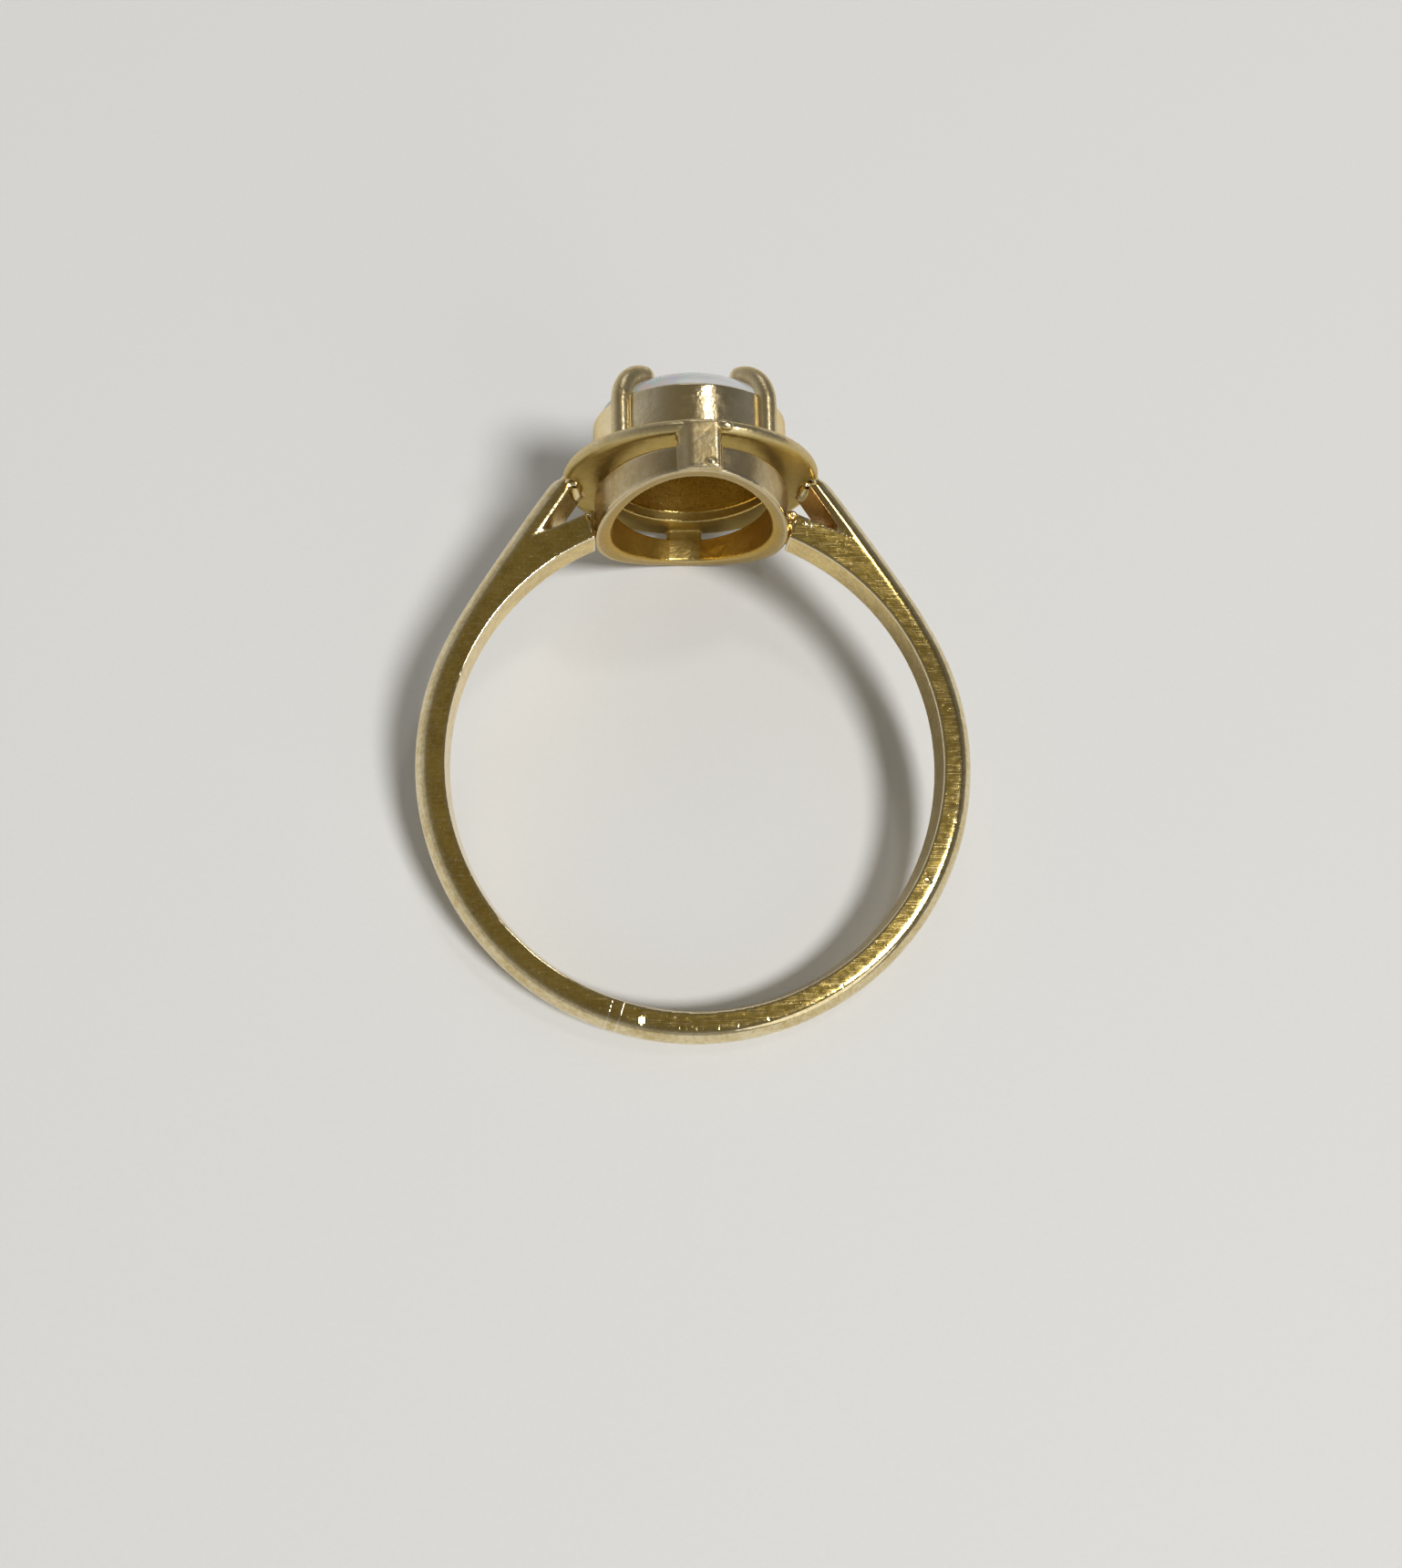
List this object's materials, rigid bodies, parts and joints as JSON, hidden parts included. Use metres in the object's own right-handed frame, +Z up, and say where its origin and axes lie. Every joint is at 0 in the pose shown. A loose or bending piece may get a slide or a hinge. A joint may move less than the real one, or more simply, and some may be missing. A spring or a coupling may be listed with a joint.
{
  "type": "engagement ring",
  "caption": "Claw-set opal engagement ring with a plain domed band, forked shoulders and an open two-tier oval gallery, lying on its side.",
  "frame": {"origin": "centre of the bounding box on the surface the ring lies on", "axes": "+Z up from the surface; +Y from the back of the band towards the head, along the surface; +X across the band. The finger axis leans 13.5 degrees from +Z towards -Y, as the ring rests on its band and the edge of its head."},
  "size_m": [0.0196, 0.0232, 0.0103],
  "materials": {
    "satin_gold": "worn satin 14 carat yellow gold",
    "bright_gold": "polished 14 carat yellow gold",
    "solder": "polished gold solder",
    "opal": "milky polished opal"
  },
  "bodies": {
    "root": {"shank_right": "satin_gold", "shank_left": "satin_gold", "sizing_insert": "satin_gold", "lower_rail": "bright_gold", "upper_plate": "bright_gold", "strut_front": "bright_gold", "strut_back": "bright_gold", "collar": "bright_gold", "claw_front_left": "bright_gold", "claw_front_right": "bright_gold", "claw_back_left": "bright_gold", "claw_back_right": "bright_gold", "opal": "opal", "solder_lower_left": "solder", "solder_lower_right": "solder", "solder_upper_left": "solder", "solder_upper_right": "solder"}
  },
  "joints": []
}
